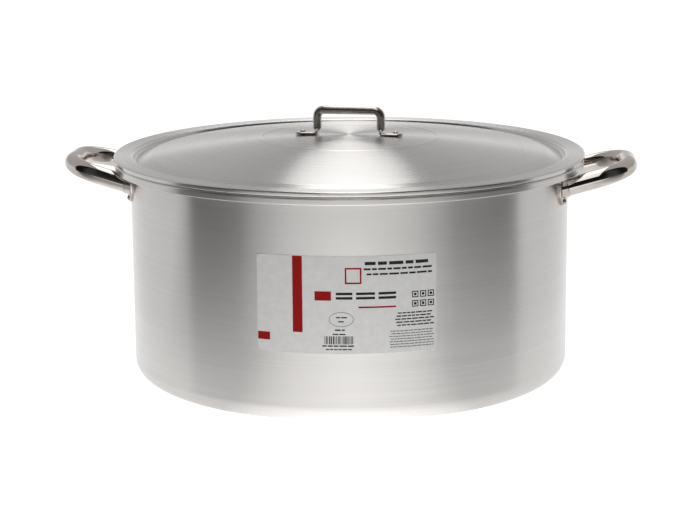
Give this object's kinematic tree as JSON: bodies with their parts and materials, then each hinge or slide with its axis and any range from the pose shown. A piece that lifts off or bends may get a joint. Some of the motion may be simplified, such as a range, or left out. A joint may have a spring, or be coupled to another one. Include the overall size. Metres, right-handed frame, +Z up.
{
  "type": "stock pot",
  "caption": "Wide lidded cooking pot in spun aluminium with two tubular steel side handles, a rolled rim, a domed lid with a bar handle and a plain wrap label.",
  "frame": {"origin": "centre of the flat underside", "axes": "+Z up along the pot's axis, side handles along +X and -X, label towards -Y"},
  "size_m": [0.53, 0.4354, 0.2464],
  "materials": {
    "pot_aluminium": "spun and lathe-brushed round the axis, satin",
    "lid_aluminium": "spun and lathe-brushed round the axis, satin",
    "polished_steel": "mirror polished stainless tube and bar",
    "plate_steel": "pressed stainless sheet, polished",
    "rivet_metal": "bright domed heads",
    "label_film": "printed satin film"
  },
  "bodies": {
    "pot": {"pot_body": "pot_aluminium", "right_handle": "polished_steel", "left_handle": "polished_steel", "right_rear_plate": "plate_steel", "right_front_plate": "plate_steel", "left_front_plate": "plate_steel", "left_rear_plate": "plate_steel", "right_rear_upper_rivet": "rivet_metal", "right_rear_lower_rivet": "rivet_metal", "right_front_upper_rivet": "rivet_metal", "right_front_lower_rivet": "rivet_metal", "left_front_upper_rivet": "rivet_metal", "left_front_lower_rivet": "rivet_metal", "left_rear_upper_rivet": "rivet_metal", "left_rear_lower_rivet": "rivet_metal", "label": "label_film"},
    "lid": {"lid_shell": "lid_aluminium", "lid_handle": "polished_steel", "lid_right_rivet": "rivet_metal", "lid_left_rivet": "rivet_metal"}
  },
  "joints": [
    {"name": "lid_lift", "type": "slide", "parent": "pot", "child": "lid", "axis": [0, 0, 1], "range_m": [0, 0.12]}
  ]
}
